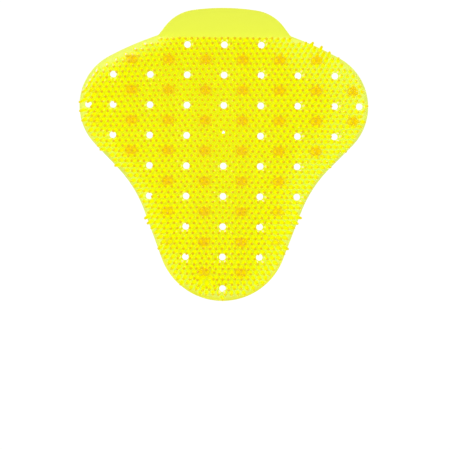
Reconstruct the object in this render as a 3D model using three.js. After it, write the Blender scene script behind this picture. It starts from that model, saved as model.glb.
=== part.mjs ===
// A urinal deodoriser screen: one soft, scented moulding that lies loose in the bowl.
// A thin plate follows the floor of the bowl and ends in a bare grip tab. Its top is a
// close field of tapered bristles, broken by a regular pattern of drain holes, and
// domed knobs underneath hold it off the glaze so that liquid runs away below it.
//
// Frame: millimetres, +Z up, +Y towards the grip tab. The origin is below the middle of
// the plate, on the surface that the knobs stand on.

import * as THREE from 'three';

const radians = THREE.MathUtils.degToRad;

// Plate
const plateLength = 180.4;
const plateWidth = 178.4;
const plateThickness = 1.9;

// Plate outline, from the tab down one side to the nose
const tabCrownRadius = 170;
const tabCornerRadius = 26;
const tabRootHalfWidth = 39.9;
const tabFlankAngle = radians(51.5);
const tabRootFillet = 2;
const shoulderAngle = radians(25.5);
const lobeRadius = 34.4;
const lobeSetback = 60;
const flankAngle = radians(44.4);
const waistRadius = 78;
const taperAngle = radians(20.5);
const noseRadius = 40;
const arcStep = radians(11);

// Bristles stand on a staggered lattice. Row 0 runs through the first drain holes.
const bristleHeight = 15;
const columnPitch = 3.8;
const rowPitch = 3.12;
const drainSetback = 22.2;
const firstRow = -1;
const rimWidth = 0.3;

// The field parts along the middle line, and all bristles lean slightly to the nose.
const sideLean = 0.93;
const partingWidth = 21.6;
const lengthwiseLean = 0.004;
const noseLean = 0.63;

// Drain holes and knobs share a coarser lattice of every sixth column and row
const patternStep = 6;
const patternMargin = 5;
const drainRadius = 2.1;
const endDrainColumn = 22;
const endDrainRow = 12;
const gateRow = 18;

// Knobs on the underside
const knobHeight = 4.9;
const knobLength = 7.3;
const knobWidth = 5.1;
const footShare = 0.55;
const knobSides = 8;

const plateBottom = knobHeight;
const plateTop = knobHeight + plateThickness;
const bristleTip = plateTop + bristleHeight;
const tabEnd = plateLength / 2;
const leastArea = 0.0001;

// A straight edge of the outline is kept as its outward normal and its distance from the origin.
function edge(angle, point, offset = 0) {
  const normal = new THREE.Vector2(Math.cos(angle), Math.sin(angle));
  return { angle, normal, distance: normal.dot(point) + offset };
}

// The point at given distances outside two straight edges.
function corner(first, second, outside) {
  const a = first.normal;
  const b = second.normal;
  const det = a.x * b.y - a.y * b.x;
  const da = first.distance + outside;
  const db = second.distance + outside;
  return new THREE.Vector2((da * b.y - db * a.y) / det, (a.x * db - b.x * da) / det);
}

// Points along an arc, both ends included, turning from one angle to the other.
function arc(centre, radius, from, to) {
  const steps = Math.max(1, Math.ceil(Math.abs(to - from) / arcStep));
  const points = [];
  for (let i = 0; i <= steps; i += 1) {
    const angle = from + (to - from) * i / steps;
    const x = centre.x + radius * Math.cos(angle);
    const y = centre.y + radius * Math.sin(angle);
    points.push(new THREE.Vector2(x, y));
  }
  return points;
}

// The right half of the outline as tangent arcs, from the tab's crown down to the nose.
function halfOutline() {
  const lobeCentre = new THREE.Vector2(plateWidth / 2 - lobeRadius, tabEnd - lobeSetback);
  const noseCentre = new THREE.Vector2(0, noseRadius - plateLength / 2);
  const shoulder = edge(Math.PI / 2 - shoulderAngle, lobeCentre, lobeRadius);
  const flank = edge(-flankAngle, lobeCentre, lobeRadius);
  const taper = edge(-taperAngle, noseCentre, noseRadius);
  const waistCentre = corner(flank, taper, waistRadius);

  const rootHeight = (shoulder.distance - shoulder.normal.x * tabRootHalfWidth) / shoulder.normal.y;
  const root = new THREE.Vector2(tabRootHalfWidth, rootHeight);
  const tabFlank = edge(Math.PI / 2 - tabFlankAngle, root);
  const rootCentre = corner(tabFlank, shoulder, tabRootFillet);

  // The tab's corner arc touches the crown arc from inside and the straight flank.
  const crownCentre = new THREE.Vector2(0, tabEnd - tabCrownRadius);
  const inset = tabFlank.normal.clone().multiplyScalar(tabFlank.distance - tabCornerRadius);
  const along = new THREE.Vector2(tabFlank.normal.y, -tabFlank.normal.x);
  const reach = inset.clone().sub(crownCentre);
  const half = reach.dot(along);
  const gap = reach.lengthSq() - (tabCrownRadius - tabCornerRadius) ** 2;
  const slide = -half - Math.sqrt(Math.max(0, half * half - gap));
  const cornerCentre = inset.clone().addScaledVector(along, Math.max(slide, -inset.x / along.x));
  const crownAngle = cornerCentre.clone().sub(crownCentre).angle();

  return [
    ...arc(crownCentre, tabCrownRadius, Math.PI / 2, crownAngle),
    ...arc(cornerCentre, tabCornerRadius, crownAngle, tabFlank.angle),
    ...arc(rootCentre, tabRootFillet, tabFlank.angle - Math.PI, shoulder.angle - Math.PI),
    ...arc(lobeCentre, lobeRadius, shoulder.angle, 0),
    ...arc(lobeCentre, lobeRadius, 0, flank.angle),
    ...arc(waistCentre, waistRadius, flank.angle - Math.PI, taper.angle - Math.PI),
    ...arc(noseCentre, noseRadius, taper.angle, -Math.PI / 2),
  ];
}

// The whole outline, anticlockwise from above, without doubled points.
function plateOutline() {
  const right = halfOutline().reverse();
  const left = halfOutline().map((point) => new THREE.Vector2(-point.x, point.y));
  const loop = [...right, ...left];
  return loop.filter((point, i) => point.distanceTo(loop[(i + 1) % loop.length]) > 0.01);
}

const outline = plateOutline();

// How far a point lies inside the outline, negative when it is outside.
function depthInside(point) {
  let nearest = Infinity;
  let inside = false;
  outline.forEach((start, i) => {
    const end = outline[(i + 1) % outline.length];
    const run = end.clone().sub(start);
    const out = point.clone().sub(start);
    const share = THREE.MathUtils.clamp(out.dot(run) / run.lengthSq(), 0, 1);
    nearest = Math.min(nearest, point.distanceTo(start.clone().addScaledVector(run, share)));
    const crosses = start.y > point.y !== end.y > point.y;
    if (crosses && out.x < run.x * out.y / run.y) inside = !inside;
  });
  return inside ? nearest : -nearest;
}

// Lattice sites are counted in half columns, so that odd rows fall between even ones.
function sitePoint(halfColumn, row) {
  const x = halfColumn * columnPitch / 2;
  const y = tabEnd - drainSetback - row * rowPitch;
  return new THREE.Vector2(x, y);
}

// Three neighbouring bristle feet meet at each corner of a honeycomb cell. A corner is
// named by the one site that it lies straight above or below.
const tall = (rowPitch ** 2 + (columnPitch / 2) ** 2) / (2 * rowPitch);

function cornerPoint({ side, halfColumn, row }) {
  const point = sitePoint(halfColumn, row);
  point.y += side * tall;
  return point;
}

function cellCorners(halfColumn, row) {
  return [
    { side: 1, halfColumn: halfColumn + 1, row: row + 1 },
    { side: -1, halfColumn: halfColumn + 1, row: row - 1 },
    { side: 1, halfColumn, row },
    { side: -1, halfColumn: halfColumn - 1, row: row - 1 },
    { side: 1, halfColumn: halfColumn - 1, row: row + 1 },
    { side: -1, halfColumn, row },
  ];
}

// Every site whose foot lies inside the rim. The first row is next to the tab, which is bare.
function latticeSites() {
  const sites = [];
  const columns = Math.ceil(plateWidth / columnPitch);
  const rows = Math.ceil(plateLength / rowPitch);
  for (let row = firstRow; row <= rows; row += 1) {
    for (let halfColumn = -columns; halfColumn <= columns; halfColumn += 1) {
      const foot = cellCorners(halfColumn, row);
      const onLattice = (halfColumn + row) % 2 === 0;
      if (onLattice && foot.every((place) => depthInside(cornerPoint(place)) > rimWidth)) {
        sites.push({ halfColumn, row, foot });
      }
    }
  }
  return sites;
}

// Drain holes sit at every sixth column and row, knobs halfway between them. Columns are
// whole here, so a knob's centre falls between two bristles of its row.
function patternPlaces(shift) {
  const places = [];
  const columns = Math.ceil(plateWidth / columnPitch / patternStep);
  const rows = Math.ceil(plateLength / rowPitch / patternStep);
  for (let j = 0; j <= rows; j += 1) {
    for (let i = -columns; i <= columns; i += 1) {
      const place = { halfColumn: 2 * (i * patternStep + shift), row: j * patternStep + shift };
      if (depthInside(sitePoint(place.halfColumn, place.row)) > patternMargin) places.push(place);
    }
  }
  return places;
}

// The middle place is the moulding gate and stays closed. Each lobe has one extra hole.
function drainPlaces() {
  const ends = [-endDrainColumn, endDrainColumn];
  const extra = ends.map((column) => ({ halfColumn: 2 * column, row: endDrainRow }));
  const regular = patternPlaces(0).filter((place) => place.halfColumn || place.row !== gateRow);
  return [...regular, ...extra];
}

// Vertices and faces of the moulding, with one vertex for each named place.
const vertices = [];
const faces = [];

function vertex(x, y, z) {
  vertices.push(x, y, z);
  return vertices.length / 3 - 1;
}

function ringAt(points, z) {
  return points.map((point) => vertex(point.x, point.y, z));
}

// A wall between two rings of equal length that run anticlockwise from above.
function wall(upper, lower, outward) {
  upper.forEach((start, i) => {
    const next = (i + 1) % upper.length;
    const a = outward ? [upper[next], start, lower[i]] : [start, upper[next], lower[next]];
    const b = outward ? [upper[next], lower[i], lower[next]] : [start, lower[next], lower[i]];
    faces.push(a, b);
  });
}

// Triangles without area appear where corners line up. Each goes when its longest side is
// swapped for the other diagonal of the four corners that it shares with its neighbour.
function swapFlatTriangles(triangles, points) {
  const size = (triangle) => Math.abs(THREE.ShapeUtils.area(triangle.map((i) => points[i])));
  for (let left = triangles.length; left > 0; left -= 1) {
    const flat = triangles.find((triangle) => size(triangle) < leastArea);
    if (!flat) return;
    const lengths = flat.map((i, k) => points[i].distanceTo(points[flat[(k + 1) % 3]]));
    const side = lengths.indexOf(Math.max(...lengths));
    const [a, c, b] = [flat[side], flat[(side + 1) % 3], flat[(side + 2) % 3]];
    const other = triangles.find((item) => item !== flat && item.includes(a) && item.includes(c));
    const d = other.find((i) => i !== a && i !== c);
    triangles[triangles.indexOf(flat)] = [b, a, d];
    triangles[triangles.indexOf(other)] = [c, b, d];
  }
}

// A flat face between one outer ring and the rings left open inside it.
function flatFace(outer, inner, up) {
  const flat = (index) => new THREE.Vector2(vertices[3 * index], vertices[3 * index + 1]);
  const gaps = inner.map((ring) => [...ring].reverse());
  const order = [...outer, ...gaps.flat()];
  const triangles = THREE.ShapeUtils.triangulateShape(outer.map(flat), gaps.map((ring) => ring.map(flat)));
  swapFlatTriangles(triangles, order.map(flat));
  triangles.forEach((triangle) => {
    const [a, b, c] = triangle.map((i) => order[i]);
    faces.push(up ? [a, b, c] : [a, c, b]);
  });
}

// The tip of a bristle, moved away from the parting and towards the nose.
function bristleApex(site) {
  const base = sitePoint(site.halfColumn, site.row);
  const sideways = sideLean * Math.tanh(base.x / partingWidth);
  const lengthways = lengthwiseLean * base.y - noseLean;
  return vertex(base.x + sideways, base.y + lengthways, bristleTip);
}

// Bristles and drain holes. Returns the rings that the plate's two flat faces leave open.
function buildField() {
  const sites = latticeSites();
  const feet = new Map();
  const wanted = new Set(drainPlaces().map(({ halfColumn, row }) => `${halfColumn} ${row}`));
  const drains = sites.filter(({ halfColumn, row }) => wanted.has(`${halfColumn} ${row}`));
  const keyOf = (place) => `${place.side} ${place.halfColumn} ${place.row}`;

  // A drain hole is the same cell with its corners set out to the hole's own radius.
  drains.forEach((site) => {
    const centre = sitePoint(site.halfColumn, site.row);
    site.foot.forEach((place) => {
      const out = cornerPoint(place).sub(centre).setLength(drainRadius).add(centre);
      feet.set(keyOf(place), vertex(out.x, out.y, plateTop));
    });
  });
  sites.forEach((site) => site.foot.forEach((place) => {
    if (feet.has(keyOf(place))) return;
    const point = cornerPoint(place);
    feet.set(keyOf(place), vertex(point.x, point.y, plateTop));
  }));

  const rim = new Map();
  const openings = [];
  sites.forEach((site) => {
    const ring = site.foot.map((place) => feet.get(keyOf(place)));
    ring.forEach((start, i) => {
      const end = ring[(i + 1) % ring.length];
      if (!rim.delete(`${end} ${start}`)) rim.set(`${start} ${end}`, [start, end]);
    });
    if (drains.includes(site)) {
      const lower = ring.map((i) => vertex(vertices[3 * i], vertices[3 * i + 1], plateBottom));
      wall(ring, lower, false);
      openings.push(lower);
    } else {
      const apex = bristleApex(site);
      ring.forEach((start, i) => faces.push([start, ring[(i + 1) % ring.length], apex]));
    }
  });
  return { fieldRings: closedRings([...rim.values()]), openings };
}

// Chains edges end to end into closed rings.
function closedRings(edges) {
  const following = new Map(edges);
  const rings = [];
  while (following.size) {
    const ring = [];
    let [here] = following.keys();
    while (following.has(here)) {
      ring.push(here);
      const next = following.get(here);
      following.delete(here);
      here = next;
    }
    rings.push(ring);
  }
  return rings;
}

function ellipse(centre, length, width) {
  return Array.from({ length: knobSides }, (_, i) => {
    const angle = (i + 0.5) * 2 * Math.PI / knobSides;
    const x = centre.x + length / 2 * Math.cos(angle);
    const y = centre.y + width / 2 * Math.sin(angle);
    return new THREE.Vector2(x, y);
  });
}

// One knob: a tapered oval with a small flat foot. Returns its ring on the plate.
function buildKnob({ halfColumn, row }) {
  const centre = sitePoint(halfColumn, row);
  const base = ringAt(ellipse(centre, knobLength, knobWidth), plateBottom);
  const foot = ringAt(ellipse(centre, knobLength * footShare, knobWidth * footShare), 0);
  wall(base, foot, true);
  flatFace(foot, [], false);
  return base;
}

function buildScreen() {
  const { fieldRings, openings } = buildField();
  const knobs = patternPlaces(patternStep / 2).map(buildKnob);
  const upper = ringAt(outline, plateTop);
  const lower = ringAt(outline, plateBottom);
  wall(upper, lower, true);
  flatFace(upper, fieldRings, true);
  flatFace(lower, [...openings, ...knobs], false);

  const geometry = new THREE.BufferGeometry();
  geometry.setAttribute('position', new THREE.Float32BufferAttribute(vertices, 3));
  geometry.setIndex(faces.flat());
  geometry.computeVertexNormals();
  return geometry;
}

const softYellow = new THREE.MeshStandardMaterial({
  color: 0xf0e820,
  roughness: 0.45,
  metalness: 0,
  flatShading: true,
});

const screen = new THREE.Mesh(buildScreen(), softYellow);
screen.name = 'bristle_screen';

const part = new THREE.Group();
part.name = 'deodoriser_screen';
part.add(screen);

export default part;
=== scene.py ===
# %% [markdown]
# A soft deodoriser screen, modelled in Blender 4.5.
#
# The real thing is one soft moulding: a thin sheet in the shape of a shield, with a
# bare grip tab at its top edge, about fifteen hundred short bristles on its upper
# face, a pattern of round drains through it, and small oval knobs beneath that keep
# it off the wet surface. It is lying on its knobs and is seen from straight above.
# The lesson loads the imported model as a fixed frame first, because every size and
# place below has to agree with it.

# %% Load the frame
import math
import bpy
import numpy as np
from mathutils import Matrix, Vector


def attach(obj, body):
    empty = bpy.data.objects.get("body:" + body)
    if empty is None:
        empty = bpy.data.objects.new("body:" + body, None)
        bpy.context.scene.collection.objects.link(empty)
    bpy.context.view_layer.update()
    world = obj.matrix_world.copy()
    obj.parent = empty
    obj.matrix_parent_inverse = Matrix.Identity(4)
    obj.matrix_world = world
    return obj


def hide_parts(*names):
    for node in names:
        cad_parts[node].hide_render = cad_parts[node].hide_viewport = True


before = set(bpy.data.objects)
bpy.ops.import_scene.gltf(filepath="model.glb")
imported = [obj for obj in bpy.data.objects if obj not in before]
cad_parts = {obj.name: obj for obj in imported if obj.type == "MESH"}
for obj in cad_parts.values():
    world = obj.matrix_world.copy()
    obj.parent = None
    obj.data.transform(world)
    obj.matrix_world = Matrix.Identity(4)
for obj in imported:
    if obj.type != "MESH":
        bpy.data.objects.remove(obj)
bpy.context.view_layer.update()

bpy.ops.object.select_all(action="DESELECT")

# %% [markdown]
# Every length is written in millimetres, as it would be on a drawing, and turned
# into Blender's metres where it is used. The names follow those in the part's
# source, so that a size can be followed from one file to the other.

# %% The sizes of the moulding
MM = 0.001
PLATE_LENGTH = 180.4
PLATE_WIDTH = 178.4
PLATE_THICKNESS = 1.9
KNOB_HEIGHT = 4.9
BRISTLE_HEIGHT = 15.0
COLUMN_PITCH = 3.8
ROW_PITCH = 3.12
DRAIN_SETBACK = 22.2
PATTERN_STEP = 6
TOP = KNOB_HEIGHT + PLATE_THICKNESS
print("upper face at", TOP, "mm, tips at", TOP + BRISTLE_HEIGHT, "mm")

# %% [markdown]
# The camera comes before the pieces. It hangs above the middle of the picture and
# looks straight down with a long lens, because the rows of bristles show only a
# small spread towards the edges. The whole mat is turned by half a degree in the
# picture, which is done by turning the camera. The plain Standard view transform
# keeps neon colours as they are written; the default one would grey them.

# %% Camera
PICTURE_WIDTH = 277.9
CAMERA_DISTANCE = 1200.0
camera_data = bpy.data.cameras.new("plan_camera")
camera_data.sensor_width = 36.0
camera_data.lens = 36.0 * CAMERA_DISTANCE / PICTURE_WIDTH
camera = bpy.data.objects.new("plan_camera", camera_data)
camera.location = (1.44 * MM, -43.25 * MM, (TOP + CAMERA_DISTANCE) * MM)
camera.rotation_euler = (0.0, 0.0, math.radians(0.56))
bpy.context.scene.collection.objects.link(camera)
bpy.context.scene.camera = camera
bpy.context.scene.view_settings.view_transform = "Standard"
print("lens", round(camera_data.lens, 1), "mm")

# %% [markdown]
# The outline is made of straight edges and arcs that run into each other: the bowed
# edge of the tab, two rounded side lobes, a waist and a rounded nose. An edge is
# kept as the direction it faces and its distance from the origin, so where two
# edges, or two edges moved sideways, cross can be worked out in one line. That
# gives the centre of every arc.

# %% Edges, corners and arcs
def edge(facing, through, away=0.0):
    normal = Vector((math.cos(facing), math.sin(facing)))
    return facing, normal, normal.dot(through) + away

def corner(first, second, out):
    a, b = first[1], second[1]
    reach_a, reach_b = first[2] + out, second[2] + out
    cross = a.x * b.y - a.y * b.x
    return Vector(((reach_a * b.y - reach_b * a.y) / cross,
                   (a.x * reach_b - b.x * reach_a) / cross))

def arc(centre, radius, start, end, step=1.6):
    count = max(1, math.ceil(abs(end - start) * radius / step))
    angles = [start + (end - start) * i / count for i in range(count + 1)]
    return [centre + radius * Vector((math.cos(a), math.sin(a))) for a in angles]

print("an edge that faces right, 3 mm out:", edge(0.0, Vector((0.0, 0.0)), 3.0)[2])

# %% [markdown]
# From the tab down to the nose, the outline is a flat arc over the tab, the tab's
# corner and flank, a small fillet at its root, a shoulder that is only just bowed,
# the lobe, a straight flank, the waist, a straight taper and the nose.

# %% The sizes of the outline
CROWN_RADIUS = 136.0
CROWN_RISE = 0.7
TAB_CORNER_RADIUS = 26.0
TAB_ROOT_HALF_WIDTH = 40.9
TAB_FLANK_ANGLE = math.radians(53.0)
TAB_ROOT_FILLET = 2.0
SHOULDER_RADIUS = 200.0
SHOULDER_ANGLE = math.radians(28.5)
LOBE_RADIUS = 34.4
LOBE_SETBACK = 60.0
FLANK_ANGLE = math.radians(44.4)
WAIST_RADIUS = 78.0
TAPER_ANGLE = math.radians(20.5)
NOSE_RADIUS = 40.0
print("the lobes reach", PLATE_WIDTH / 2, "mm to each side")

# %% The outline of the sheet
def half_outline():
    """The right half, from the middle of the tab to the end of the nose."""
    half_width, half_length = PLATE_WIDTH / 2, PLATE_LENGTH / 2
    up, right = math.pi / 2, 0.0
    lobe = Vector((half_width - LOBE_RADIUS, half_length - LOBE_SETBACK))
    nose = Vector((0.0, NOSE_RADIUS - half_length))
    lobe_end = up - SHOULDER_ANGLE
    towards_lobe = Vector((math.cos(lobe_end), math.sin(lobe_end)))
    shoulder = lobe - (SHOULDER_RADIUS - LOBE_RADIUS) * towards_lobe
    across = TAB_ROOT_HALF_WIDTH - shoulder.x
    root_y = shoulder.y + math.sqrt(SHOULDER_RADIUS ** 2 - across ** 2)
    root = Vector((TAB_ROOT_HALF_WIDTH, root_y))
    rest = edge(math.atan2((root - shoulder).y, (root - shoulder).x), root)
    flank = edge(right - FLANK_ANGLE, lobe, LOBE_RADIUS)
    taper = edge(right - TAPER_ANGLE, nose, NOSE_RADIUS)
    waist = corner(flank, taper, WAIST_RADIUS)
    tab_side = edge(up - TAB_FLANK_ANGLE, root)
    fillet = corner(tab_side, rest, TAB_ROOT_FILLET)
    crown = Vector((0.0, half_length + CROWN_RISE - CROWN_RADIUS))
    # the tab's corner touches its flank from inside, and the crown's arc from inside
    inner = tab_side[1] * (tab_side[2] - TAB_CORNER_RADIUS)
    along = Vector((tab_side[1].y, -tab_side[1].x))
    reach = inner - crown
    middle = reach.dot(along)
    gap = (CROWN_RADIUS - TAB_CORNER_RADIUS) ** 2
    slide = -middle - math.sqrt(max(0.0, middle ** 2 - reach.length_squared + gap))
    tab_corner = inner + along * max(slide, -inner.x / along.x)
    turn = math.atan2((tab_corner - crown).y, (tab_corner - crown).x)
    # the shoulder's arc starts 0.6 mm past the root, clear of the fillet
    past_root = rest[0] - 0.003
    return (arc(crown, CROWN_RADIUS, up, turn)
            + arc(tab_corner, TAB_CORNER_RADIUS, turn, tab_side[0])
            + arc(fillet, TAB_ROOT_FILLET, tab_side[0] - math.pi, rest[0] - math.pi, step=0.8)
            + arc(shoulder, SHOULDER_RADIUS, past_root, lobe_end)
            + arc(lobe, LOBE_RADIUS, lobe_end, right)
            + arc(lobe, LOBE_RADIUS, right, flank[0])
            + arc(waist, WAIST_RADIUS, flank[0] - math.pi, taper[0] - math.pi)
            + arc(nose, NOSE_RADIUS, taper[0], -up))

right_side = half_outline()
loop = right_side[::-1] + [Vector((-p.x, p.y)) for p in right_side]
following = loop[1:] + loop[:1]
outline = [p for p, after in zip(loop, following) if (p - after).length > 0.05]
print("outline points:", len(outline))

# %% [markdown]
# Two later steps ask how far inside the outline a place lies: which bristles have
# room to stand, and how pale the plastic looks near its edge. One function answers
# for any number of places at once, positive inside and negative outside.

# %% How far inside the outline
RING = np.array([tuple(p) for p in outline])

def inland(places):
    places = np.atleast_2d(np.asarray(places, float))
    nearest = np.full(len(places), 1e9)
    crossings = np.zeros(len(places), int)
    for a, b in zip(RING, np.roll(RING, -1, axis=0)):
        run, out = b - a, places - a
        share = np.clip(out @ run / (run @ run), 0, 1)
        nearest = np.minimum(nearest, np.hypot(*(out - share[:, None] * run).T))
        level = (a[1] > places[:, 1]) != (b[1] > places[:, 1])
        meet = a[0] + run[0] * (places[:, 1] - a[1]) / (run[1] if run[1] else 1e-9)
        crossings += level & (places[:, 0] < meet)
    return np.where(crossings % 2 == 1, nearest, -nearest)

print("middle of the sheet is", round(float(inland((0, 0))[0]), 1), "mm from its edge")

# %% [markdown]
# Bristles stand on a honeycomb: every second row is shifted by half a column. The
# drains take the place of a bristle at every sixth column and sixth row, and the
# knobs sit in the middle between four drains. One place in the drain pattern, near
# the middle, is filled by a bristle: the mould feeds the plastic there. A place needs
# room for a bristle's foot, and a few more are squeezed in at the edge, where their
# tips reach over it and break up the outline.

# %% Places of bristles, drains and knobs
PATTERN_MARGIN = 5.0
BRISTLE_MARGIN = 1.95

def site(half_column, row):
    return half_column * COLUMN_PITCH / 2, PLATE_LENGTH / 2 - DRAIN_SETBACK - ROW_PITCH * row

def with_room(places, room):
    """The places that lie more than room inside the outline."""
    depths = inland([site(*place) for place in places])
    return [place for place, depth in zip(places, depths) if depth > room]

def pattern(shift):
    return with_room([(2 * (PATTERN_STEP * i + shift), PATTERN_STEP * j + shift)
                      for j in range(10) for i in range(-5, 6)], PATTERN_MARGIN)

# places are counted in half columns and rows from the middle drain of the top row
SQUEEZED_IN = [(28, 0), (31, 1), (34, 2), (46, 12), (-39, 21), (39, 21),
               (-34, 24), (34, 24), (-24, 34), (24, 34)]
LEFT_OUT = {(-37, 3), (-2, 50), (2, 50)}
END_DRAINS = [(-44, 12), (44, 12)]
NOSE_DRAIN = (0, 48)
GATE = (0, 18)
lattice = with_room([(column, row) for row in range(-1, 56) for column in range(-48, 49)
                     if (column + row) % 2 == 0], BRISTLE_MARGIN)
drains = [s for s in pattern(0) if s != GATE] + END_DRAINS
knobs = pattern(PATTERN_STEP // 2)
bristles = [s for s in lattice + SQUEEZED_IN if s not in LEFT_OUT.union(drains)]
print(len(bristles), "bristles,", len(drains), "drains,", len(knobs), "knobs")

# %% [markdown]
# The sheet could be drawn as a curve and filled, but a circle with one vertex for
# each outline point keeps everything in one mesh: its vertices are set on the
# outline, the face is pulled up by the thickness of the sheet, and a Bevel modifier
# rounds the two rims, as the mould does.

# %% Helpers: choose a piece, apply a modifier
def only(piece):
    bpy.ops.object.select_all(action="DESELECT")
    piece.select_set(True)
    bpy.context.view_layer.objects.active = piece

def apply_modifier(piece, kind, **settings):
    only(piece)
    modifier = piece.modifiers.new(kind.lower(), kind)
    for name, value in settings.items():
        setattr(modifier, name, value)
    bpy.ops.object.modifier_apply(modifier=modifier.name)

# %% The sheet
RIM_ROUNDING = 0.55
bpy.ops.mesh.primitive_circle_add(vertices=len(outline), radius=PLATE_WIDTH / 2 * MM,
                                  fill_type="NGON")
screen = bpy.context.active_object
screen.name = screen.data.name = "soft_bristle_screen"
for vertex, place in zip(screen.data.vertices, outline):
    vertex.co = (place.x * MM, place.y * MM, KNOB_HEIGHT * MM)
bpy.ops.object.mode_set(mode="EDIT")
bpy.ops.mesh.select_all(action="SELECT")
bpy.ops.mesh.extrude_region_move(TRANSFORM_OT_translate={"value": (0, 0, PLATE_THICKNESS * MM)})
bpy.ops.mesh.select_all(action="SELECT")
bpy.ops.mesh.normals_make_consistent(inside=False)
bpy.ops.object.mode_set(mode="OBJECT")
apply_modifier(screen, "BEVEL", width=RIM_ROUNDING * MM, segments=3,
               limit_method="ANGLE", angle_limit=math.radians(60))
print("sheet:", len(screen.data.polygons), "faces")

# %% [markdown]
# Drains, bristles and knobs are all round or oval and change only in radius along
# their height, so one helper makes each of them: a filled circle is pulled up ring
# by ring, and every new ring is scaled to its own radius. A second helper copies the
# finished shape to each of its places, every copy with its own mesh, and joins them.
# A bristle squeezed in at the edge keeps its foot on the sheet, so it stands a little
# further in, and the drain at the nose lies slightly off the pattern.

# %% Helper: keep a foot on the sheet
FOOT_RADIUS = 1.56

def footing(place):
    """The place itself, or, where its foot would hang over, a little further in."""
    here = np.array(site(*place))
    short = FOOT_RADIUS - float(inland(here)[0])
    if short <= 0:
        return here
    slope = np.array([float(inland(here + step)[0] - inland(here - step)[0])
                      for step in ((0.1, 0), (0, 0.1))])
    return here + short * slope / np.hypot(*slope)

feet = {place: tuple(footing(place)) for place in SQUEEZED_IN}
nose_x, nose_y = site(*NOSE_DRAIN)
feet[NOSE_DRAIN] = (nose_x + 0.3, nose_y - 0.75)
print("moved:", [place for place in feet if not np.allclose(feet[place], site(*place))])

# %% Helpers: a turned shape, and its copies
def turned(name, profile, sides):
    """A shape with these sides; its profile is pairs of a radius and a height."""
    radius, height = profile[0]
    bpy.ops.object.select_all(action="DESELECT")
    bpy.ops.mesh.primitive_circle_add(vertices=sides, radius=radius * MM,
                                      location=(0, 0, 0), fill_type="NGON")
    shape = bpy.context.active_object
    shape.name = name
    bpy.ops.object.mode_set(mode="EDIT")
    bpy.ops.transform.translate(value=(0, 0, height * MM))
    for (r0, z0), (r1, z1) in zip(profile, profile[1:]):
        rise = (0, 0, (z1 - z0) * MM)
        bpy.ops.mesh.extrude_region_move(TRANSFORM_OT_translate={"value": rise})
        bpy.ops.transform.resize(value=(r1 / r0, r1 / r0, 1), center_override=(0, 0, z1 * MM))
    bpy.ops.mesh.select_all(action="SELECT")
    bpy.ops.mesh.normals_make_consistent(inside=False)
    bpy.ops.object.mode_set(mode="OBJECT")
    return shape

def spread(master, placings):
    copies = []
    for placing in placings:
        mesh = master.data.copy()
        mesh.transform(placing)
        copies.append(bpy.data.objects.new(master.name, mesh))
        bpy.context.collection.objects.link(copies[-1])
    bpy.data.objects.remove(master)
    bpy.ops.object.select_all(action="DESELECT")
    for copy in copies:
        copy.select_set(True)
    bpy.context.view_layer.objects.active = copies[0]
    bpy.ops.object.join()
    return bpy.context.active_object

def at(place, height, shape=None):
    x, y = feet.get(place) or site(*place)
    return Matrix.Translation((x * MM, y * MM, height * MM)) @ (shape or Matrix.Identity(4))

def combine(piece, other, operation):
    apply_modifier(piece, "BOOLEAN", object=other, operation=operation, solver="MANIFOLD")
    bpy.data.objects.remove(other)

print("foot of a bristle:", FOOT_RADIUS, "mm in radius")

# %% Drains
# wide below, narrow above, with a small rounding where the drain meets the upper face
DRAIN_PROFILE = [(2.4, -0.3), (2.4, -0.02), (2.3, 0.2), (2.24, 0.5), (2.04, 1.7),
                 (2.04, 1.86), (2.09, 1.9), (2.09, 2.2)]
cutter = turned("drain_cutter", DRAIN_PROFILE, 28)
combine(screen, spread(cutter, [at(place, KNOB_HEIGHT) for place in drains]), "DIFFERENCE")
print("drained sheet:", len(screen.data.polygons), "faces")

# %% [markdown]
# Beside the fed bristle the sheet has a small pinhole, left where two flows of
# plastic met. It is cut in the same way with a narrower cutter, and the feet of the
# bristles around it will cover part of it.

# %% Pinhole at the feed point
PINHOLE_PROFILE = [(1.0, -0.3), (0.9, 0.5), (0.9, 1.5), (1.05, 2.2)]
pin = turned("pinhole_cutter", PINHOLE_PROFILE, 14)
gate_x, gate_y = site(*GATE)
beside_gate = Vector((gate_x - 0.1, gate_y + 2.1, KNOB_HEIGHT)) * MM
combine(screen, spread(pin, [Matrix.Translation(beside_gate)]), "DIFFERENCE")
print("with pinhole:", len(screen.data.polygons), "faces")

# %% [markdown]
# A knob is a low oval dome. Its profile is a superellipse, which is fuller at the
# shoulder than a ball and is cut off just before its pole, so that the knob has a
# small flat foot. The turned dome is squeezed to an oval when it is placed.

# %% Knobs
FULLNESS = 2.4
DOME_SHARE = 0.97
DOME_RINGS = 7
KNOB_HALF_LENGTH, KNOB_HALF_WIDTH = 3.65, 2.55
steps = [DOME_SHARE * i / DOME_RINGS for i in range(DOME_RINGS + 1)]
dome = [((1 - s ** FULLNESS) ** (1 / FULLNESS), -KNOB_HEIGHT * s / DOME_SHARE) for s in steps]
knob = turned("knob", [(1.0, 0.5)] + dome, 24)
oval = Matrix.Diagonal((KNOB_HALF_LENGTH, KNOB_HALF_WIDTH, 1.0, 1.0))
combine(screen, spread(knob, [at(place, KNOB_HEIGHT, oval) for place in knobs]), "UNION")
print("with knobs:", len(screen.data.polygons), "faces")

# %% [markdown]
# The bristles are tapered pegs, wide at the foot and rounded at the tip. On the real
# moulding they don't all stand upright: the field parts along the middle line and
# leans a little towards the nose, and where the mat has been handled, on both lobes
# and beside the nose, the tips are pushed over further. Each copy is sheared, so its
# foot stays flat on the sheet while its tip moves. The small differences between
# neighbours come from a seeded generator, so every run is alike.

# %% Lean of each bristle
SIDE_LEAN = 0.93
PARTING_WIDTH = 21.6
LENGTHWISE_LEAN = 0.004
NOSE_LEAN = 0.63
SCATTER = 0.2
chance = np.random.default_rng(7)
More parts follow.
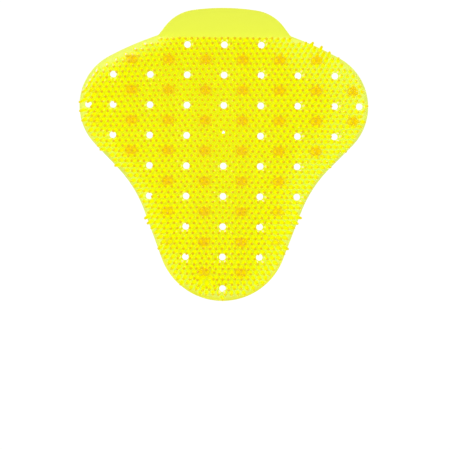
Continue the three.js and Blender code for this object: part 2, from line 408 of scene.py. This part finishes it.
# each brushed spot: its centre, its radius, how far it pushes the tips, and how far
# it drives them apart, all in millimetres
BRUSHED = [((-51.0, 74.0), 42.0, (2.66, 0.0), 0.0),
           ((-81.0, 57.0), 41.0, (0.0, -2.7), 0.0),
           ((90.0, 49.0), 21.5, (-1.7, 0.0), 0.0),
           ((63.0, 69.5), 25.0, (-0.85, 0.4), 0.0),
           ((90.0, 40.0), 18.5, (0.0, -0.5), 0.0),
           ((-86.0, 32.0), 9.0, (-1.4, -0.3), 0.0),
           ((-86.5, 30.6), 3.0, (-2.0, -0.5), 0.0),
           ((61.0, 66.0), 10.0, (0.4, 1.3), 0.0),
           ((43.0, -46.0), 20.0, (1.3, 0.2), 0.0),
           ((-43.0, -44.0), 18.0, (-1.0, -0.7), 0.0),
           ((-10.0, -75.4), 5.2, (0.0, 0.0), 3.4)]

def lean(place):
    here = np.array(site(*place))
    sideways = SIDE_LEAN * math.tanh(here[0] / PARTING_WIDTH)
    tip = np.array((sideways, LENGTHWISE_LEAN * here[1] - NOSE_LEAN))
    tip = tip + chance.normal(0, SCATTER, 2)
    for centre, radius, push, burst in BRUSHED:
        away = here - centre
        near = math.exp(-(away @ away) / radius ** 2)
        tip = tip + near * (np.array(push) + burst * away / max(1.0, float(np.hypot(*away))))
    return tip

def leaning(place):
    shear = Matrix.Identity(4)
    shear[0][2], shear[1][2] = lean(place) / BRISTLE_HEIGHT
    return shear

print("brushed spots:", len(BRUSHED))

# %% Bristles
BRISTLE_PROFILE = [(FOOT_RADIUS, -0.5), (FOOT_RADIUS, 0.1), (1.45, 0.6),
                   (0.80, 14.6), (0.66, 14.88), (0.42, BRISTLE_HEIGHT)]
bristle = turned("bristle", BRISTLE_PROFILE, 8)
print("one bristle:", len(bristle.data.polygons), "faces")
combine(screen, spread(bristle, [at(place, TOP, leaning(place)) for place in bristles]), "UNION")
only(screen)
bpy.ops.object.shade_smooth_by_angle(angle=math.radians(40))
screen.data.calc_loop_triangles()
print("whole moulding:", len(screen.data.loop_triangles), "triangles")

# %% [markdown]
# How pale the plastic looks depends on how far in from the edge it lies, because the
# light that reaches the middle from below has already been through the sheet. That
# distance isn't something a node can work out, so it is stored on the mesh as an
# attribute, in millimetres, and the material reads it.

# %% Distance from the edge, stored on the mesh
count = len(screen.data.vertices)
flat = np.empty(count * 3)
screen.data.vertices.foreach_get("co", flat)
depths = inland(flat.reshape(-1, 3)[:, :2] / MM)
attribute = screen.data.attributes.new("inland", "FLOAT", "POINT")
attribute.data.foreach_set("value", depths)
print("deepest place:", round(float(depths.max()), 1), "mm from the edge")

# %% [markdown]
# Shader maths reads best as ordinary expressions. The small class below wraps the
# output of a node: adding, subtracting, multiplying or dividing it adds a Math node,
# and every other node comes from one method that takes the node's type, its
# settings, and what goes into its sockets.

# %% A socket that can be calculated with
class Wire:
    def __init__(self, socket):
        self.socket = socket

    @staticmethod
    def node(tree, kind, settings=None, sockets=None, output=0):
        new = tree.nodes.new(kind)
        for name, value in (settings or {}).items():
            setattr(new, name, value)
        for key, value in (sockets or {}).items():
            if isinstance(value, Wire):
                tree.links.new(value.socket, new.inputs[key])
            else:
                new.inputs[key].default_value = value
        return Wire(new.outputs[output])

    def math(self, operation, *others):
        sockets = dict(enumerate((self, *others)))
        return Wire.node(self.socket.id_data, "ShaderNodeMath", {"operation": operation}, sockets)

    def __add__(self, other): return self.math("ADD", other)
    def __sub__(self, other): return self.math("SUBTRACT", other)
    def __mul__(self, other): return self.math("MULTIPLY", other)
    def __truediv__(self, other): return self.math("DIVIDE", other)
    def __radd__(self, other): return self + other
    def __rmul__(self, other): return self * other

    def __rsub__(self, other):
        return Wire.node(self.socket.id_data, "ShaderNodeMath", {"operation": "SUBTRACT"},
                         {0: other, 1: self})

    def rise(self, low, high):
        """0 below low, 1 above high, and a smooth step between."""
        return Wire.node(self.socket.id_data, "ShaderNodeMapRange",
                         {"interpolation_type": "SMOOTHSTEP"},
                         {0: self, 1: low, 2: high, 3: 0.0, 4: 1.0})

    def within(self, half):
        """This value wrapped into the span from -half to half."""
        return self.math("WRAP", half, -half)

    def dot(self, other):
        """The dot product of two vectors."""
        return Wire.node(self.socket.id_data, "ShaderNodeVectorMath",
                         {"operation": "DOT_PRODUCT"}, {0: self, 1: other}, "Value")

    def tint(self, plain, full):
        """The colour plain where this is 0, and full where it is 1."""
        return Wire.node(self.socket.id_data, "ShaderNodeMix", {"data_type": "RGBA"},
                         {0: self, 6: plain, 7: full}, 2)

def colour(red, green, blue):
    """A colour as it is read off a screen, 0 to 255, made linear for a shader."""
    shares = [value / 255 for value in (red, green, blue)]
    linear = [((share + 0.055) / 1.055) ** 2.4 if share > 10 / 255 else share / 12.92
              for share in shares]
    return (*linear, 1.0)

print("a middle grey, made linear:", round(colour(128, 128, 128)[0], 3))

# %% [markdown]
# The plastic is a soft, see-through neon yellow. Thin places that light passes once
# are pale, like the tab and the rim; the field in the middle, which light reaches
# only through the plastic itself, is a full lemon; and the long way down through a
# bristle or a knob turns it orange. A fully simulated glow would need far more light
# bounces than a render has, so the colour that the thickness gives is painted, and
# a part of the light is let through.

# %% Where on the moulding
plastic = bpy.data.materials.new("soft_yellow_plastic")
plastic.use_nodes = True
tree = plastic.node_tree
shader = tree.nodes["Principled BSDF"]
where = Wire.node(tree, "ShaderNodeTexCoord", output="Object")
x, y, z = [Wire.node(tree, "ShaderNodeSeparateXYZ", sockets={0: where}, output=axis) * (1 / MM)
           for axis in range(3)]
from_edge = Wire.node(tree, "ShaderNodeAttribute", {"attribute_name": "inland"}, output="Fac")
print("nodes so far:", len(tree.nodes))

# %% Colour of the sheet
LEMON = colour(239, 239, 2)
RIM = colour(237, 244, 112)
LOW_RIM_PAINTED_LIGHTER = colour(250, 250, 66)
TAB = colour(234, 241, 77)
NETWORK = colour(241, 250, 140)
edge_width = 12.0 + 22.0 * x.rise(0.0, 70.0)
near_edge = 1 - (from_edge / edge_width).rise(0.0, 1.0)
sheet = near_edge.tint(LEMON, NETWORK)
# towards the nose the rim is a fuller yellow, and it is also painted lighter there: painted light
# that makes up for the lamps standing towards the tab
rim = y.rise(-80.0, -45.0).tint(LOW_RIM_PAINTED_LIGHTER, RIM)
sheet = (1 - from_edge.rise(1.0, 3.0)).tint(sheet, rim)
on_tab = y.rise(71.8, 73.4)
sheet = on_tab.tint(sheet, TAB)
print("nodes with the sheet:", len(tree.nodes))

# %% [markdown]
# The knobs show through the sheet as orange ovals. They repeat every six columns and
# six rows, so the distance to the nearest one comes from wrapping the coordinates
# into one cell of that pattern.

# %% Colour of the knobs, seen through the sheet
OVAL_HALF_LENGTH, OVAL_HALF_WIDTH = 3.55, 2.7
HALF_CELL_LENGTH = PATTERN_STEP / 2 * COLUMN_PITCH
HALF_CELL_WIDTH = PATTERN_STEP / 2 * ROW_PITCH
knob_x, knob_y = site(PATTERN_STEP, PATTERN_STEP // 2)
knob_u = (x - knob_x).within(HALF_CELL_LENGTH) / OVAL_HALF_LENGTH
knob_v = (y - knob_y).within(HALF_CELL_WIDTH) / OVAL_HALF_WIDTH
from_knob = (knob_u * knob_u + knob_v * knob_v).math("SQRT")
shows = from_edge.rise(4.5, 5.5) * (1 - on_tab) * (0.3 + 0.7 * x.rise(-78.0, -62.0))
shows = shows * (1 - 0.6 * (1 - from_edge.rise(8.0, 18.0)) * (1 - y.rise(-20.0, 0.0)))
over_knob = (1 - from_knob.rise(0.94, 1.04)) * shows
knob_line = (1 - (from_knob - 0.94).math("ABSOLUTE").rise(0.03, 0.12)) * shows
ORANGE = colour(244, 221, 4)
DEEP_ORANGE = colour(240, 196, 6)
sheet = over_knob.tint(sheet, ORANGE)
sheet = (knob_line * 0.7).tint(sheet, DEEP_ORANGE)
print("nodes with the knobs:", len(tree.nodes))

# %% Colour along a bristle
TIP = colour(234, 187, 12)
TIP_AT_EDGE = colour(248, 226, 14)
SIDE = colour(243, 242, 4)
FOOT = colour(226, 245, 4)
FLANK = colour(240, 245, 2)
up = (z - TOP) / BRISTLE_HEIGHT
foot = near_edge.tint(FLANK, FOOT)
peg = up.rise(0.0, 0.08).tint(foot, FLANK)
peg = up.rise(0.1, 0.9).tint(peg, SIDE)
peg = over_knob.tint(peg, ORANGE)
tip = near_edge.tint(TIP, TIP_AT_EDGE)
peg = up.rise(0.94, 0.985).tint(peg, tip)
print("nodes with the bristles:", len(tree.nodes))

# %% [markdown]
# Where a peg's flank faces the light it carries a small pinkish highlight. These are
# painted by the way the surface faces: on the pegs along the upper left rim, and on
# those that stand at a drain, on its side away from the middle of the mat.

# %% Highlights on the pegs
GLINT = colour(255, 222, 226)
TOWARDS_LAMP = (-0.7, 0.7, 0.14)
MIDDLE_Y = 20.0
facing = Wire.node(tree, "ShaderNodeTexCoord", output="Normal")
rim_pins = (1 - from_edge.rise(4.6, 5.8)) * (1 - x.rise(-48.0, -40.0)) * y.rise(34.0, 40.0)
glint = facing.dot(TOWARDS_LAMP).rise(0.8, 0.95) * up.rise(0.45, 0.6) * rim_pins
hole_x = x.within(HALF_CELL_LENGTH)
hole_y = (y - site(0, 0)[1]).within(HALF_CELL_WIDTH)
from_hole = (hole_x * hole_x + hole_y * hole_y).math("SQRT")
off_y = y - MIDDLE_Y
from_middle = (x * x + off_y * off_y).math("SQRT")
outer_side = (hole_x * x + hole_y * off_y) / (from_hole * from_middle)
to_hole = Wire.node(tree, "ShaderNodeCombineXYZ",
                    sockets={0: 0 - hole_x / from_hole, 1: 0 - hole_y / from_hole})
lit = facing.dot(to_hole).rise(0.7, 0.95) * outer_side.rise(0.3, 0.8)
lit = lit * (1 - from_hole.rise(3.6, 4.0)) * up.rise(0.25, 0.4) * (1 - up.rise(0.8, 0.9))
lit = lit * x.rise(-10.0, 10.0).math("MAXIMUM", 1 - y.rise(-45.0, -30.0))
lit = lit * from_middle.rise(30.0, 55.0)
peg = glint.math("MAXIMUM", lit).tint(peg, GLINT)
print("nodes with the highlights:", len(tree.nodes))

# %% Sheet, pegs and knobs together
KNOB_SKIN = colour(240, 238, 20)
skin = z.rise(TOP + 0.05, TOP + 0.3).tint(sheet, peg)
skin = (1 - z.rise(KNOB_HEIGHT - 2.5, KNOB_HEIGHT)).tint(skin, KNOB_SKIN)
print("nodes with all colours:", len(tree.nodes))

# %% [markdown]
# The surface itself is a glossy moulded skin: a fine grain breaks up the highlights,
# and the roughness wanders a little over the mat, where it has been handled. The
# moulding also glows a little in its own colour, and more on the lower flanks of the
# bristles. This glow is painted light: it lightens the shade in the narrow gaps
# between the bristles, which would otherwise go dark.

# %% Surface of the plastic
# painted light: extra glow on the lower flanks lightens the shade between the bristles
gap_glow_boost = z.rise(TOP + 0.05, TOP + 0.5) * (1 - up.rise(0.3, 0.95))
glow = Wire.node(tree, "ShaderNodeVectorMath", {"operation": "SCALE"},
                 {0: skin, "Scale": 1 + 0.22 * gap_glow_boost})

def noise(scale, detail):
    return Wire.node(tree, "ShaderNodeTexNoise",
                     sockets={"Vector": where, "Scale": scale, "Detail": detail})

bump = Wire.node(tree, "ShaderNodeBump",
                 sockets={"Strength": 0.12, "Distance": 0.0002, "Height": noise(900.0, 3.0)})
roughness = 0.06 + 0.08 * noise(60.0, 2.0)
for name, value in {"Base Color": skin, "Emission Color": glow, "Roughness": roughness,
                    "Normal": bump}.items():
    tree.links.new(value.socket, shader.inputs[name])
# the emission strength sets the painted glow over the whole moulding
for name, value in {"Emission Strength": 0.181, "IOR": 1.48, "Specular IOR Level": 0.4,
                    "Transmission Weight": 0.22}.items():
    shader.inputs[name].default_value = value
screen.data.materials.clear()
screen.data.materials.append(plastic)
print("finished plastic:", len(tree.nodes), "nodes")

# %% [markdown]
# The mat lies on a plain white table in a white room. The camera sees both as plain
# white, as in a catalogue picture, while the light that reaches the mat still comes
# from a surface with the mat's own shadow on it.

# %% Table and room
SEEN_WHITE = 0.94
TABLE_EMISSION = 1.06
ROOM_LIGHT = 0.55
WHITE = (1, 1, 1, 1)

def any_ray(tree, *names):
    """1 for a ray of any of these kinds, otherwise 0."""
    rays = [Wire.node(tree, "ShaderNodeLightPath", output=name) for name in names]
    found = rays[0]
    for ray in rays[1:]:
        found = found.math("MAXIMUM", ray)
    return found

bpy.ops.object.select_all(action="DESELECT")
bpy.ops.mesh.primitive_plane_add(size=6.0, location=(0, 0, 0))
table = bpy.context.active_object
table.name = "white_table"
bpy.ops.object.mode_set(mode="EDIT")
bpy.ops.mesh.subdivide(number_cuts=3)
bpy.ops.transform.translate(value=(0, 0, -0.2 * MM))
bpy.ops.object.mode_set(mode="OBJECT")
table_white = bpy.data.materials.new("table_white")
table_white.use_nodes = True
tree = table_white.node_tree
surface = tree.nodes["Principled BSDF"]
surface.inputs["Base Color"].default_value = (0.88, 0.88, 0.88, 1)
surface.inputs["Roughness"].default_value = 0.8
white = Wire.node(tree, "ShaderNodeEmission", sockets={0: WHITE, 1: TABLE_EMISSION})
seen = any_ray(tree, "Is Camera Ray", "Is Glossy Ray", "Is Transmission Ray")
both = Wire.node(tree, "ShaderNodeMixShader",
                 sockets={0: seen * SEEN_WHITE, 1: Wire(surface.outputs[0]), 2: white})
tree.links.new(both.socket, tree.nodes["Material Output"].inputs[0])
table.data.materials.append(table_white)

room = bpy.data.worlds.new("white_room")
bpy.context.scene.world = room
room.use_nodes = True
tree = room.node_tree
light = tree.nodes["Background"]
light.inputs[0].default_value = WHITE
light.inputs[1].default_value = ROOM_LIGHT
white = Wire.node(tree, "ShaderNodeBackground", sockets={0: WHITE, 1: 1.0})
seen = any_ray(tree, "Is Camera Ray", "Is Transmission Ray")
both = Wire.node(tree, "ShaderNodeMixShader",
                 sockets={0: seen, 1: Wire(light.outputs[0]), 2: white})
tree.links.new(both.socket, tree.nodes["World Output"].inputs[0])
print("table and room are white to the camera")

# %% Two soft lamps
LAMP_SIZE = 0.35

def soft_lamp(name, place, watts):
    bpy.ops.object.light_add(type="AREA", location=place)
    lamp = bpy.context.active_object
    lamp.name = name
    lamp.data.size = LAMP_SIZE
    lamp.data.energy = watts
    lamp.rotation_euler = (-Vector(place)).to_track_quat("-Z", "Y").to_euler()

soft_lamp("lamp_left", (-0.6, 0.5, 0.9), 2.8)
soft_lamp("lamp_right", (0.7, 0.4, 1.0), 1.7)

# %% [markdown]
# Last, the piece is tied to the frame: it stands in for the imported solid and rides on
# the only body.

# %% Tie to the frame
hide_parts("bristle_screen")
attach(screen, "root")
